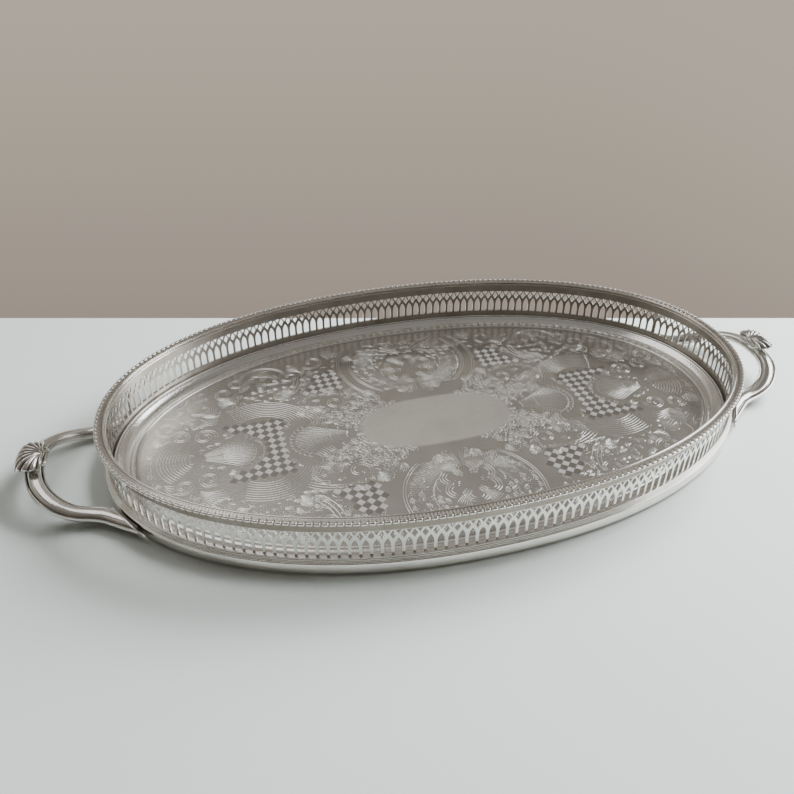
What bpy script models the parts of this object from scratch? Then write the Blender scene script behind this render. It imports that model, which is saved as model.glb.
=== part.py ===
"""Oval gallery serving tray in silver plate, modelled piece by piece.

Metres, +Z up. The origin is on the table under the middle of the tray, X runs from
handle to handle. Every run of moulding follows one oval, a superellipse that is cut
into equal stations, so neighbours keep an even gap whatever their inset.
"""
import math

import bmesh
import bpy
import numpy as np

MM = 0.001

# Driving dimensions of the oval, at the outside of the rim
HALF_LENGTH = 245.0 * MM
HALF_WIDTH = 150.6 * MM
OVAL_POWER = 2.115
STATIONS = 64

# The gallery's joins, in stations either side of the two ends, and the gap at every join
GALLERY_END = 3
SEAM = 0.2 * MM

# Ground plate: inset and height of its top face, from the rolled edge to the field
PLATE_GAUGE = 1.0 * MM
FIELD_HEIGHT = 3.4 * MM
FIELD_INSET = 20.4 * MM
PLATE_EDGE = [(5.5, 7.6), (5.9, 8.9), (8.2, 8.7), (12.2, 5.4), (16.0, 3.9)]

# Pierced gallery wall
WALL_GAUGE = 0.8 * MM
WALL_INSET = 4.7 * MM
WALL_BOTTOM = 6.4 * MM
WALL_TOP = 40.4 * MM
ARCHES_PER_STATION = 3
ARCH_SILL = 13.1 * MM
ARCH_SPRING = 20.6 * MM
ARCH_TIP = 26.2 * MM
ARCH_HALF_WIDTH = 2.15 * MM
LOZENGE_BOTTOM = 26.4 * MM
LOZENGE_TOP = 33.2 * MM
LOZENGE_HALF_WIDTH = 1.9 * MM

# Sections of the mouldings as (inset, height) in millimetres, going round the outline
SKIRT = [(3.9, 9.9), (2.5, 9.9), (0.8, 8.6), (0.1, 6.6), (0.1, 4.4), (0.9, 2.2), (2.3, 0.6),
         (3.8, 0.0), (6.4, 0.0), (6.4, 0.9), (4.1, 1.0), (2.0, 2.6), (1.1, 5.4), (2.2, 8.2), (3.9, 9.0)]
REEDS = [(3.95, 10.2), (3.95, 13.1), (3.2, 13.1), (2.4, 12.5), (2.4, 11.8), (1.7, 11.3), (1.7, 10.2)]
BORDER = [(2.3, 40.9), (7.1, 40.9), (7.1, 41.7), (5.3, 41.9), (5.3, 43.3), (2.3, 43.3)]
PAD = [(-0.45, 1.2), (-0.45, 8.6), (-1.0, 9.0), (-1.5, 8.6), (-1.5, 1.2), (-1.0, 0.8)]
PAD_ENDS = (51.0 * MM, 74.0 * MM)


def wire_section(inset, height, radius, sides=6):
    """The outline of a round wire, as (inset, height) points in millimetres."""
    turns = [2.0 * math.pi * k / sides for k in range(sides)]
    return [(inset + radius * math.cos(turn), height + radius * math.sin(turn)) for turn in turns]


BEAD_WIRE = wire_section(1.05, 42.2, 1.05)
INNER_WIRE = wire_section(6.3, 42.75, 0.75)

# Handles: the path of one half, from the crest to past the end of the leg, then its section
HANDLE_PATH = [(288.0, 0.0, 18.6), (287.5, 9.0, 18.5), (286.0, 18.0, 17.8), (283.1, 26.3, 16.1),
               (278.4, 33.6, 13.6), (272.1, 39.5, 10.9), (265.0, 43.4, 8.4), (257.6, 45.6, 6.7),
               (250.2, 47.1, 5.8), (243.2, 49.6, 5.4), (236.8, 54.0, 5.2), (229.5, 59.5, 5.1),
               (204.0, 78.9, 5.0)]
HANDLE_HALF_WIDTH = 6.1 * MM
HANDLE_CROWN = 3.8 * MM
HANDLE_SOLE = 3.0 * MM
HANDLE_CLEARANCE = 1.9 * MM

# Shells: a fan of flutes over the crest of each handle
SHELL_ROOT = (281.0 * MM, 22.9 * MM)
SHELL_CROWN = 288.5 * MM
SHELL_RADIUS = 20.2 * MM
SHELL_SPREAD = math.radians(95.0)
SHELL_FLUTES = 11
SHELL_GAUGE = 1.3 * MM

for old in list(bpy.data.objects):
    bpy.data.objects.remove(old, do_unlink=True)

parts = bpy.data.collections.new("serving_tray")
guides = bpy.data.collections.new("guides")
bpy.context.scene.collection.children.link(parts)
bpy.context.scene.collection.children.link(guides)


def make_silver(name, colour, roughness):
    """A plated finish of one colour."""
    material = bpy.data.materials.new(name)
    material.use_nodes = True
    shader = material.node_tree.nodes["Principled BSDF"]
    shader.inputs["Base Color"].default_value = (*colour, 1.0)
    shader.inputs["Metallic"].default_value = 1.0
    shader.inputs["Roughness"].default_value = roughness
    return material


plate_silver = make_silver("chased_silver", (0.62, 0.60, 0.56), 0.38)
wall_silver = make_silver("pierced_silver", (0.78, 0.76, 0.72), 0.24)
moulding_silver = make_silver("moulding_silver", (0.74, 0.71, 0.67), 0.22)
cast_silver = make_silver("cast_silver", (0.66, 0.64, 0.60), 0.3)


def place(name, data, material):
    """Put a finished mesh or curve in the parts collection under its piece's name."""
    piece = bpy.data.objects.new(name, data)
    data.materials.clear()
    data.materials.append(material)
    parts.objects.link(piece)
    return piece


def oval_stations():
    """Points at equal steps of arc length round the oval, with their outward normals."""
    turn = np.linspace(0.0, 2.0 * math.pi, 8 * 1024 + 1)
    cosine, sine = np.cos(turn), np.sin(turn)
    power = 2.0 / OVAL_POWER
    x = HALF_LENGTH * np.sign(cosine) * np.abs(cosine) ** power
    y = HALF_WIDTH * np.sign(sine) * np.abs(sine) ** power
    along = np.concatenate([[0.0], np.cumsum(np.hypot(np.diff(x), np.diff(y)))])
    wanted = along[-1] * np.arange(STATIONS) / STATIONS
    points = np.stack([np.interp(wanted, along, x), np.interp(wanted, along, y)], axis=1)
    slope = np.stack([np.abs(points[:, 0] / HALF_LENGTH) ** (OVAL_POWER - 1) / HALF_LENGTH,
                      np.abs(points[:, 1] / HALF_WIDTH) ** (OVAL_POWER - 1) / HALF_WIDTH], axis=1)
    slope *= np.where(points < 0.0, -1.0, 1.0)
    return points, slope / np.linalg.norm(slope, axis=1, keepdims=True), along[-1] / STATIONS


STATION_POINTS, STATION_NORMALS, STATION_LENGTH = oval_stations()


def on_oval(station, inset):
    """The point at a station, whole or part way to the next, at an inset from the rim."""
    first = int(math.floor(station + 1e-9))
    share = station - first
    ends = [STATION_POINTS[k % STATIONS] - inset * STATION_NORMALS[k % STATIONS]
            for k in (first, first + 1)]
    return ends[0] * (1.0 - share) + ends[1] * share


def run_stations(start, end, gap=SEAM):
    """The stations that a length of moulding passes, with a seam's gap at both ends."""
    inner = [k for k in range(math.ceil(start), math.floor(end) + 1) if start < k < end]
    trim = gap / STATION_LENGTH
    return [start + trim, *inner, end - trim]


def sweep(name, section, start, end, material):
    """A length of moulding: a section that runs anticlockwise, carried along the oval and capped."""
    mesh = bmesh.new()
    rings = []
    for station in run_stations(start, end):
        ring = [mesh.verts.new((*on_oval(station, inset * MM), height * MM))
                for inset, height in section]
        rings.append(ring)
    count = len(section)
    for one, other in zip(rings, rings[1:]):
        for k in range(count):
            mesh.faces.new((one[k], one[(k + 1) % count], other[(k + 1) % count], other[k]))
    mesh.faces.new(rings[0][::-1])
    mesh.faces.new(rings[-1])
    data = bpy.data.meshes.new(name)
    mesh.to_mesh(data)
    mesh.free()
    data.shade_smooth()
    data.set_sharp_from_angle(angle=math.radians(35.0))
    return place(name, data, material)


def arch_outline(middle):
    """A pointed arch in the flat strip, as (along, height) corners."""
    left, right = middle - ARCH_HALF_WIDTH, middle + ARCH_HALF_WIDTH
    return [(left, ARCH_SILL), (left, ARCH_SPRING), (middle, ARCH_TIP),
            (right, ARCH_SPRING), (right, ARCH_SILL)]


def lozenge_outline(middle):
    """The diamond above the bar between two arches, as (along, height) corners from the foot up."""
    waist = 0.5 * (LOZENGE_BOTTOM + LOZENGE_TOP)
    return [(middle, LOZENGE_BOTTOM), (middle + LOZENGE_HALF_WIDTH, waist),
            (middle, LOZENGE_TOP), (middle - LOZENGE_HALF_WIDTH, waist)]


def bay_outlines(low, high, left_join, right_join):
    """The outlines of one bay: its edge, notched by half diamonds where it isn't a join, and its holes."""
    foot, right, top, _ = lozenge_outline(high)
    left = (2.0 * high - right[0], right[1])
    edge = [(low, WALL_BOTTOM), (high, WALL_BOTTOM)]
    edge += [] if right_join else [foot, left, top]
    edge += [(high, WALL_TOP), (low, WALL_TOP)]
    foot, right, top, _ = lozenge_outline(low)
    edge += [] if left_join else [top, right, foot]
    pitch = STATION_LENGTH / ARCHES_PER_STATION
    first = math.floor(0.5 * (low + high) / STATION_LENGTH) * STATION_LENGTH
    arches = [arch_outline(first + (k + 0.5) * pitch) for k in range(ARCHES_PER_STATION)]
    diamonds = [lozenge_outline(first + k * pitch) for k in range(1, ARCHES_PER_STATION)]
    return [edge, *arches, *diamonds]


def pierced_length(name, start, end):
    """A flat strip cut with arches and diamonds, filled one bay at a time and bent on edge."""
    mesh = bmesh.new()
    stops = [station * STATION_LENGTH for station in run_stations(start, end)]
    for low, high in zip(stops, stops[1:]):
        edges = []
        for outline in bay_outlines(low, high, low == stops[0], high == stops[-1]):
            corners = [mesh.verts.new((along, height, 0.0)) for along, height in outline]
            edges += [mesh.edges.new(pair) for pair in zip(corners, corners[1:] + corners[:1])]
        bmesh.ops.triangle_fill(mesh, edges=edges, use_beauty=True, normal=(0.0, 0.0, 1.0))
    bmesh.ops.remove_doubles(mesh, verts=mesh.verts, dist=0.01 * MM)
    for vert in mesh.verts:
        along, height, _ = vert.co
        vert.co = (*on_oval(along / STATION_LENGTH, WALL_INSET - WALL_GAUGE / 2.0), height)
    data = bpy.data.meshes.new(name)
    mesh.to_mesh(data)
    mesh.free()
    piece = place(name, data, wall_silver)
    sheet = piece.modifiers.new("gauge", "SOLIDIFY")
    sheet.thickness = WALL_GAUGE
    sheet.offset = -1.0
    return piece


def ground_plate():
    """The stamped plate: a flat field, a cove and a rolled edge, as one sheet."""
    mesh = bmesh.new()
    lines = [(inset * MM, height * MM) for inset, height in PLATE_EDGE]
    lines.append((FIELD_INSET, FIELD_HEIGHT))
    rings = [[mesh.verts.new((*on_oval(k, inset), height)) for k in range(STATIONS)]
             for inset, height in lines]
    for outer, inner in zip(rings, rings[1:]):
        for k in range(STATIONS):
            after = (k + 1) % STATIONS
            mesh.faces.new((outer[k], outer[after], inner[after], inner[k]))
    mesh.faces.new(rings[-1])
    data = bpy.data.meshes.new("ground_plate")
    mesh.to_mesh(data)
    mesh.free()
    data.shade_smooth()
    data.set_sharp_from_angle(angle=math.radians(30.0))
    piece = place("ground_plate", data, plate_silver)
    sheet = piece.modifiers.new("gauge", "SOLIDIFY")
    sheet.thickness = PLATE_GAUGE
    sheet.offset = -1.0
    return piece


def loft(name, rings, material):
    """A cast bar: like sections joined end to end and closed with a face at each end."""
    mesh = bmesh.new()
    loops = [[mesh.verts.new(point) for point in ring] for ring in rings]
    count = len(loops[0])
    for one, other in zip(loops, loops[1:]):
        for k in range(count):
            mesh.faces.new((one[k], other[k], other[(k + 1) % count], one[(k + 1) % count]))
    mesh.faces.new(loops[0])
    mesh.faces.new(loops[-1][::-1])
    data = bpy.data.meshes.new(name)
    mesh.to_mesh(data)
    mesh.free()
    data.shade_smooth()
    data.set_sharp_from_angle(angle=math.radians(50.0))
    return place(name, data, material)


def bar_ring(centre, forward, half_width, crown, sole):
    """A low domed section across a bar that runs forward, at a centre point."""
    side = np.cross(forward, (0.0, 0.0, 1.0))
    side /= np.linalg.norm(side)
    up = np.cross(side, forward)
    up /= np.linalg.norm(up)
    dome = [(math.cos(math.pi * k / 6), math.sin(math.pi * k / 6)) for k in range(7)]
    outline = [(half_width * c, crown * s) for c, s in dome]
    outline += [(-0.72 * half_width, -sole), (0.72 * half_width, -sole)]
    return [centre + side * across + up * rise for across, rise in outline]


def bar_rings(path, sizes):
    """Sections square to a path, one at each of its points."""
    path = np.asarray(path)
    forward = np.gradient(path, axis=0)
    forward /= np.linalg.norm(forward, axis=1, keepdims=True)
    return [bar_ring(point, ahead, *size) for point, ahead, size in zip(path, forward, sizes)]


def body_cutter():
    """An upright prism a little outside the skirt, which mitres the ends of the handles."""
    mesh = bmesh.new()
    foot = mesh.faces.new([mesh.verts.new((*on_oval(k, -HANDLE_CLEARANCE), -20.0 * MM))
                           for k in reversed(range(STATIONS))])
    grown = bmesh.ops.extrude_face_region(mesh, geom=[foot], use_keep_orig=True)
    raised = [item for item in grown["geom"] if isinstance(item, bmesh.types.BMVert)]
    bmesh.ops.translate(mesh, verts=raised, vec=(0.0, 0.0, 80.0 * MM))
    bmesh.ops.recalc_face_normals(mesh, faces=mesh.faces)
    data = bpy.data.meshes.new("body_cutter")
    mesh.to_mesh(data)
    mesh.free()
    cutter = bpy.data.objects.new("body_cutter", data)
    cutter.hide_render = True
    cutter.display_type = "WIRE"
    guides.objects.link(cutter)
    return cutter


def handle(name, side, cutter):
    """A cast bar in a wide C: its crest is raised outside, and its legs are cut off at the skirt."""
    half = np.array(HANDLE_PATH) * MM
    both = np.concatenate([half[:0:-1] * (1.0, -1.0, 1.0), half]) * (side, 1.0, 1.0)
    size = (HANDLE_HALF_WIDTH, HANDLE_CROWN, HANDLE_SOLE)
    piece = loft(name, bar_rings(both, [size] * len(both)), cast_silver)
    mitre = piece.modifiers.new("mitre", "BOOLEAN")
    mitre.operation = "DIFFERENCE"
    mitre.solver = "EXACT"
    mitre.object = cutter
    return piece


def shell(name, side):
    """A fluted fan, domed over the handle's crest, that droops over the bar's outer edge."""
    rings, spokes = 7, 4 * SHELL_FLUTES + 1
    share = np.linspace(0.14, 1.0, rings)[:, None]
    turn = np.linspace(-1.0, 1.0, spokes)[None, :]
    flute = np.cos(turn * SHELL_FLUTES * math.pi)
    angle = SHELL_SPREAD * turn
    reach = SHELL_RADIUS * share * np.cos(0.9 * angle) ** 0.35 * (1.0 + 0.02 * flute * share)
    x = SHELL_ROOT[0] + reach * np.cos(angle)
    y = reach * np.sin(angle) * 0.93
    dome = 6.2 * MM * (1.0 - ((x - SHELL_CROWN) / (15.5 * MM)) ** 2 - (y / (15.5 * MM)) ** 2)
    droop = 5.5 * MM * (np.maximum(x - SHELL_CROWN - 3.0 * MM, 0.0) / (12.0 * MM)) ** 2
    lip = 2.6 * MM * np.exp(-(share / 0.22) ** 2)
    z = SHELL_ROOT[1] + dome - droop - lip + 0.4 * MM * flute * share
    mesh = bmesh.new()
    grid = [[mesh.verts.new((side * x[i, k], y[i, k], z[i, k])) for k in range(spokes)]
            for i in range(rings)]
    for i in range(rings - 1):
        for k in range(spokes - 1):
            corners = (grid[i][k], grid[i + 1][k], grid[i + 1][k + 1], grid[i][k + 1])
            mesh.faces.new(corners if side > 0 else corners[::-1])
    data = bpy.data.meshes.new(name)
    mesh.to_mesh(data)
    mesh.free()
    data.shade_smooth()
    piece = place(name, data, cast_silver)
    sheet = piece.modifiers.new("gauge", "SOLIDIFY")
    sheet.thickness = SHELL_GAUGE
    sheet.offset = 1.0
    return piece


# The plate, then the four lengths of pierced wall that stand round it
ground_plate()
HALF_TURN = STATIONS // 2
pierced_length("gallery_right_end", -GALLERY_END, GALLERY_END)
pierced_length("gallery_rear", GALLERY_END, HALF_TURN - GALLERY_END)
pierced_length("gallery_left_end", HALF_TURN - GALLERY_END, HALF_TURN + GALLERY_END)
pierced_length("gallery_front", HALF_TURN + GALLERY_END, STATIONS - GALLERY_END)

# Mouldings in halves, joined behind the handles: the stamped border on top of the wall, the
# beaded wire outside it, the plain wire inside it, the reeds at the wall's foot and the skirt
for half, first in (("rear", 0), ("front", HALF_TURN)):
    for name, section in (("border_", BORDER), ("bead_wire_", BEAD_WIRE), ("inner_wire_", INNER_WIRE),
                          ("reed_moulding_", REEDS), ("skirt_", SKIRT)):
        sweep(name + half, section, first, first + HALF_TURN, moulding_silver)

# Castings at each end: handle and shell, and the pads that join the handle's legs to the skirt
cutter = body_cutter()
pad_from, pad_to = (arc / STATION_LENGTH for arc in PAD_ENDS)
for word, side in (("right", 1), ("left", -1)):
    handle("handle_" + word, side, cutter)
    shell("shell_" + word, side)
sweep("pad_right_rear", PAD, pad_from, pad_to, cast_silver)
sweep("pad_left_rear", PAD, HALF_TURN - pad_to, HALF_TURN - pad_from, cast_silver)
sweep("pad_left_front", PAD, HALF_TURN + pad_from, HALF_TURN + pad_to, cast_silver)
sweep("pad_right_front", PAD, STATIONS - pad_to, STATIONS - pad_from, cast_silver)
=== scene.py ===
"""Oval gallery serving tray in silver plate, on a pale table in soft light.

Metres, +Z up. X runs from handle to handle and the origin is on the table under the middle
of the tray. The sections follow the tray as it is put together: the table and the light, the
ground plate and its chasing, the pierced gallery, the mouldings, and the cast handles.
"""

import math

import bpy
import numpy as np
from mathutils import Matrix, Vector


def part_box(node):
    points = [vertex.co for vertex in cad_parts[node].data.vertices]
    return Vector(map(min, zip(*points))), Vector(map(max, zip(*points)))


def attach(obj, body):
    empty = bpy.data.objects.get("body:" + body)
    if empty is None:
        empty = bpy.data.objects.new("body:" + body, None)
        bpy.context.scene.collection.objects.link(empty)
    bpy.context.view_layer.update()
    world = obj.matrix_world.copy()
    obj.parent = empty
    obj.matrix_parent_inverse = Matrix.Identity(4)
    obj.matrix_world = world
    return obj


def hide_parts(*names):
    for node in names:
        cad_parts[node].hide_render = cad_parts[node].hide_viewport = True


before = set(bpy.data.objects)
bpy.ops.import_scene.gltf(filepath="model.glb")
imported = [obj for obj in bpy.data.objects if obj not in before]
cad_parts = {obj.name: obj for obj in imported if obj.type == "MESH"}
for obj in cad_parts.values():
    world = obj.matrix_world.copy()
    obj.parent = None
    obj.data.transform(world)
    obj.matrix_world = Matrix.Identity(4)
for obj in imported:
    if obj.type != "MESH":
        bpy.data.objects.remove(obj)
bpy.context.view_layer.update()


# ---------------------------------------------------------------- table, camera and light
# The tray stands on a pale painted table in front of a warm plain wall, in soft daylight from behind on the
# right. The wall glows with painted light in the colours of the surroundings, which the silver mirrors from
# every side.

TABLE_SIZE = 8.0
WALL_HEIGHT = 3.0
WALL_DISTANCE = 0.637
CAMERA_PLACE = Vector((-0.15604, -0.44651, 0.34949))
CAMERA_TURN = (math.radians(55.204), 0.0, math.radians(-15.801))

camera_data = bpy.data.cameras.new("camera")
camera_data.lens = 33.76
camera_data.sensor_width = 36.0
camera = bpy.data.objects.new("camera", camera_data)
camera.location = CAMERA_PLACE
camera.rotation_euler = CAMERA_TURN
bpy.context.scene.collection.objects.link(camera)
bpy.context.scene.camera = camera

view_ahead = np.array([math.sin(-CAMERA_TURN[2]), math.cos(CAMERA_TURN[2])])
view_right = np.array([view_ahead[1], -view_ahead[0]])


def stage_sheet(name, corners):
    """A flat sheet of the set, its corners given as how far right and ahead of the camera's
    foot they lie, and how high."""
    foot = np.array(CAMERA_PLACE[:2])
    points = [(*(foot + right * view_right + ahead * view_ahead), height) for right, ahead, height in corners]
    data = bpy.data.meshes.new(name)
    data.from_pydata(points, [], [(0, 1, 2, 3)])
    sheet = bpy.data.objects.new(name, data)
    bpy.context.scene.collection.objects.link(sheet)
    return sheet


table = stage_sheet("table_top", [(-TABLE_SIZE, -TABLE_SIZE, 0.0), (TABLE_SIZE, -TABLE_SIZE, 0.0),
                                  (TABLE_SIZE, TABLE_SIZE, 0.0), (-TABLE_SIZE, TABLE_SIZE, 0.0)])
wall = stage_sheet("room_wall", [(-TABLE_SIZE, WALL_DISTANCE, 0.0), (TABLE_SIZE, WALL_DISTANCE, 0.0),
                                 (TABLE_SIZE, WALL_DISTANCE, WALL_HEIGHT),
                                 (-TABLE_SIZE, WALL_DISTANCE, WALL_HEIGHT)])
wall.visible_diffuse = wall.visible_glossy = wall.visible_shadow = False


def add_node(tree, kind, values=None, **settings):
    """A new shader node, with its settings and the values of its inputs by name."""
    node = tree.nodes.new("ShaderNode" + kind)
    for label, setting in settings.items():
        setattr(node, label, setting)
    for label, value in (values or {}).items():
        node.inputs[label].default_value = value
    return node


def add_ramp(tree, stops):
    """A colour ramp through its stops, each a place from 0 to 1 and a colour."""
    node = tree.nodes.new("ShaderNodeValToRGB")
    elements = node.color_ramp.elements
    elements[0].position, elements[0].color = stops[0][0], (*stops[0][1], 1.0)
    elements[1].position, elements[1].color = stops[-1][0], (*stops[-1][1], 1.0)
    for place, tone in stops[1:-1]:
        elements.new(place).color = (*tone, 1.0)
    return node


def connect(tree, *links):
    """Links in a tree: each is a node and its output, then a node and its input."""
    for source, output, target, entry in links:
        tree.links.new(source.outputs[output], target.inputs[entry])


# The wall shows from the front only, so that the back of the tray can be seen through it. It glows by itself
# with painted light, lighter upward and toward the right, as the window's light would fall on it.
wall_painted_light = bpy.data.materials.new("wall_painted_light")
wall_painted_light.use_nodes = True
tree = wall_painted_light.node_tree
tree.nodes.remove(tree.nodes["Principled BSDF"])
place, split, total = (add_node(tree, kind) for kind in ("TexCoord", "SeparateXYZ", "Math"))
upward = add_node(tree, "MapRange", {"From Max": 0.30})
rightward = add_node(tree, "MapRange", {"From Min": 0.10, "From Max": 0.55, "To Max": 0.45},
                     interpolation_type="SMOOTHSTEP")
shades = add_ramp(tree, [(0.0, (0.370, 0.305, 0.255)), (1.0, (0.545, 0.490, 0.395))])
glow, clear = add_node(tree, "Emission"), add_node(tree, "BsdfTransparent")
side, mix = add_node(tree, "NewGeometry"), add_node(tree, "MixShader")
connect(tree, (place, "Object", split, "Vector"), (split, "Z", upward, "Value"),
        (split, "X", rightward, "Value"), (upward, "Result", total, 0), (rightward, "Result", total, 1),
        (total, "Value", shades, "Fac"), (shades, "Color", glow, "Color"), (side, "Backfacing", mix, "Fac"),
        (glow, "Emission", mix, 1), (clear, "BSDF", mix, 2),
        (mix, "Shader", tree.nodes["Material Output"], "Surface"))
wall.data.materials.append(wall_painted_light)

# The table's paint is a little uneven
table_paint = bpy.data.materials.new("table_paint")
table_paint.use_nodes = True
tree = table_paint.node_tree
shader = tree.nodes["Principled BSDF"]
shader.inputs["Roughness"].default_value = 0.42
shader.inputs["Specular IOR Level"].default_value = 0.35
place = add_node(tree, "TexCoord")
cloud = add_node(tree, "TexNoise", {"Scale": 2.5, "Detail": 1.0})
tones = add_ramp(tree, [(0.3, (0.84, 0.89, 0.85)), (0.7, (0.88, 0.93, 0.89))])
connect(tree, (place, "Object", cloud, "Vector"), (cloud, "Fac", tones, "Fac"),
        (tones, "Color", shader, "Base Color"))
table.data.materials.append(table_paint)

# The room in bands from the floor to the ceiling, darker on the side across from the wall.
# It fills the shadows less than the silver mirrors it, as most light is the window's.
world = bpy.data.worlds.new("room")
bpy.context.scene.world = world
world.use_nodes = True
tree = world.node_tree
background = tree.nodes["Background"]
place, split = add_node(tree, "TexCoord"), add_node(tree, "SeparateXYZ")
height = add_node(tree, "MapRange", {"From Min": -1.0})
tones = add_ramp(tree, [(0.30, (0.41, 0.34, 0.285)), (0.49, (0.40, 0.345, 0.295)),
                        (0.51, (0.12, 0.10, 0.085)), (0.54, (0.42, 0.37, 0.32)),
                        (0.60, (0.45, 0.41, 0.36)), (0.64, (0.15, 0.135, 0.12)),
                        (0.68, (0.40, 0.37, 0.33)), (0.74, (0.24, 0.22, 0.195)),
                        (0.79, (0.48, 0.455, 0.41)), (0.86, (0.45, 0.43, 0.39)),
                        (0.91, (0.20, 0.19, 0.175)), (1.0, (0.24, 0.23, 0.22))])
across = add_node(tree, "VectorMath", {1: (-view_ahead[0], -view_ahead[1], -0.15)}, operation="DOT_PRODUCT")
shade = add_node(tree, "MapRange", {"From Min": -0.1, "From Max": 0.7}, interpolation_type="SMOOTHSTEP")
mix = add_node(tree, "Mix", {"B": (0.15, 0.135, 0.115, 1.0)}, data_type="RGBA")
ray, fill = add_node(tree, "LightPath"), add_node(tree, "MapRange", {"To Min": 1.0, "To Max": 0.35})
connect(tree, (place, "Generated", split, "Vector"), (split, "Z", height, "Value"),
        (height, "Result", tones, "Fac"), (place, "Generated", across, 0), (across, "Value", shade, "Value"),
        (shade, "Result", mix, "Factor"), (tones, "Color", mix, "A"), (mix, "Result", background, "Color"),
        (ray, "Is Diffuse Ray", fill, "Value"), (fill, "Result", background, "Strength"))


def soft_light(name, place, width, height, power, colour, mirrored=True):
    """A rectangular light at a place, turned to face the tray, seen in the silver or not."""
    data = bpy.data.lights.new(name, "AREA")
    data.shape = "RECTANGLE"
    data.size, data.size_y = width, height
    data.energy, data.color = power, colour
    lamp = bpy.data.objects.new(name, data)
    lamp.location = place
    lamp.rotation_euler = (-Vector(place)).to_track_quat("-Z", "Y").to_euler()
    lamp.visible_glossy = mirrored
    bpy.context.scene.collection.objects.link(lamp)


soft_light("window_daylight", (1.50, 0.60, 1.05), 1.2, 1.0, 104.0, (0.95, 0.98, 1.0), mirrored=False)
soft_light("window_pane", (1.45, 0.05, 0.95), 1.2, 1.0, 20.0, (0.95, 0.98, 1.0))
soft_light("ceiling", (-0.5, 0.75, 1.7), 1.3, 1.1, 5.5, (1.0, 0.99, 0.97))


# ---------------------------------------------------------------- ground plate
# One stamped oval of plated brass: a flat field, a hollow cove round it and an edge rolled
# up against the gallery. It is spun and pressed, then polished.

MM = 0.001
HALF_LENGTH = 0.5 * (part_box("bead_wire_rear")[1].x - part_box("bead_wire_rear")[0].x)
HALF_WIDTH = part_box("bead_wire_rear")[1].y
OVAL_POWER = 2.115
ARCHES = 192
FIELD_HEIGHT = 3.4
# Inset, height and darkness along the plate's top, from the wall in to the field, where the darkness is a
# dark joint with painted shade against the wall and painted reflection streaks across the cove; then inset
# and height along its underside
EDGE_LINE = [(5.5, 7.4, 1.0), (5.6, 8.3, 1.0), (6.0, 9.0, 0.3), (6.7, 9.25, 0.0), (7.4, 9.0, 0.2),
             (7.7, 8.55, 1.0), (8.2, 8.4, 0.6), (8.9, 8.2, 0.0), (10.4, 6.9, 0.0), (12.2, 5.5, 0.0),
             (14.0, 4.6, 0.0), (15.6, 4.1, 0.1), (16.6, 4.0, 0.3), (17.3, 4.2, 0.0), (18.6, 4.2, 0.0),
             (19.5, 3.9, 0.2), (19.9, 3.5, 1.0), (20.3, 3.2, 1.0), (20.8, 3.4, 0.6)]
UNDER_LINE = [(20.4, 2.5), (16.0, 2.9), (12.2, 4.5), (8.2, 7.8), (6.3, 8.1), (5.9, 7.4)]

turn = np.linspace(0.0, 2.0 * math.pi, 16385)
oval_x = HALF_LENGTH * np.sign(np.cos(turn)) * np.abs(np.cos(turn)) ** (2.0 / OVAL_POWER)
oval_y = HALF_WIDTH * np.sign(np.sin(turn)) * np.abs(np.sin(turn)) ** (2.0 / OVAL_POWER)
oval_arc = np.concatenate([[0.0], np.cumsum(np.hypot(np.diff(oval_x), np.diff(oval_y)))])
OVAL_LENGTH = oval_arc[-1]
PITCH = OVAL_LENGTH / ARCHES


def oval_slope(x, y):
    """How fast |x/a|^n + |y/b|^n grows along x and along y, over n."""
    return np.stack([np.sign(x) * np.abs(x / HALF_LENGTH) ** (OVAL_POWER - 1.0) / HALF_LENGTH,
                     np.sign(y) * np.abs(y / HALF_WIDTH) ** (OVAL_POWER - 1.0) / HALF_WIDTH], axis=-1)


def on_oval(arc, inset):
    """Points on the oval |x/a|^n + |y/b|^n = 1 at an arc length from its right tip, moved in
    along its normal by an inset. Both are in metres; the result has x and y last."""
    arc = np.mod(arc, OVAL_LENGTH)
    x, y = np.interp(arc, oval_arc, oval_x), np.interp(arc, oval_arc, oval_y)
    slope = oval_slope(x, y)
    return (np.stack([x, y], axis=-1)
            - np.asarray(inset)[..., None] * slope / np.linalg.norm(slope, axis=-1, keepdims=True))


def oval_level(x, y, inset):
    """|x/a|^n + |y/b|^n, which is 1 on the oval whose half sizes are an inset smaller; the
    inset is in millimetres."""
    return (np.abs(x / (HALF_LENGTH - inset * MM)) ** OVAL_POWER
            + np.abs(y / (HALF_WIDTH - inset * MM)) ** OVAL_POWER)


def lifted(plan, height):
    """Points in plan with their heights, or one height for all, as the third coordinate."""
    return np.concatenate([plan, np.broadcast_to(height, plan.shape[:-1])[..., None]], axis=-1)


def smooth_line(points, steps):
    """A line through all the points, with steps between each pair: the Catmull-Rom cubic."""
    p = np.asarray(points, float)
    p = np.concatenate([2 * p[:1] - p[1:2], p, 2 * p[-1:] - p[-2:-1]])
    t = np.arange(steps)[:, None] / steps
    a, b, c, d = p[:-3, None], p[1:-2, None], p[2:-1, None], p[3:, None]
    line = 0.5 * (2 * b + (c - a) * t + (2 * a - 5 * b + 4 * c - d) * t ** 2
                  + (3 * b - a - 3 * c + d) * t ** 3)
    return np.concatenate([line.reshape(-1, p.shape[1]), p[-2:-1]])


def grid_faces(rows, columns, wrap_rows=False, wrap_columns=False):
    """The quads of a grid of points, row by row, closed in either direction if wanted."""
    r = np.arange(rows if wrap_rows else rows - 1)[:, None]
    c = np.arange(columns if wrap_columns else columns - 1)[None, :]
    r_next, c_next = (r + 1) % rows, (c + 1) % columns
    quads = [r * columns + c, r * columns + c_next, r_next * columns + c_next, r_next * columns + c]
    return np.stack(np.broadcast_arrays(*quads), axis=-1).reshape(-1, 4)


def tube_faces(rings, sides):
    """The faces of a tube that stands as rings of points: its side, then its two ends."""
    around = np.arange(sides)
    return [grid_faces(rings, sides, wrap_columns=True),
            np.stack([around[::-1], (rings - 1) * sides + around])]


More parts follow.
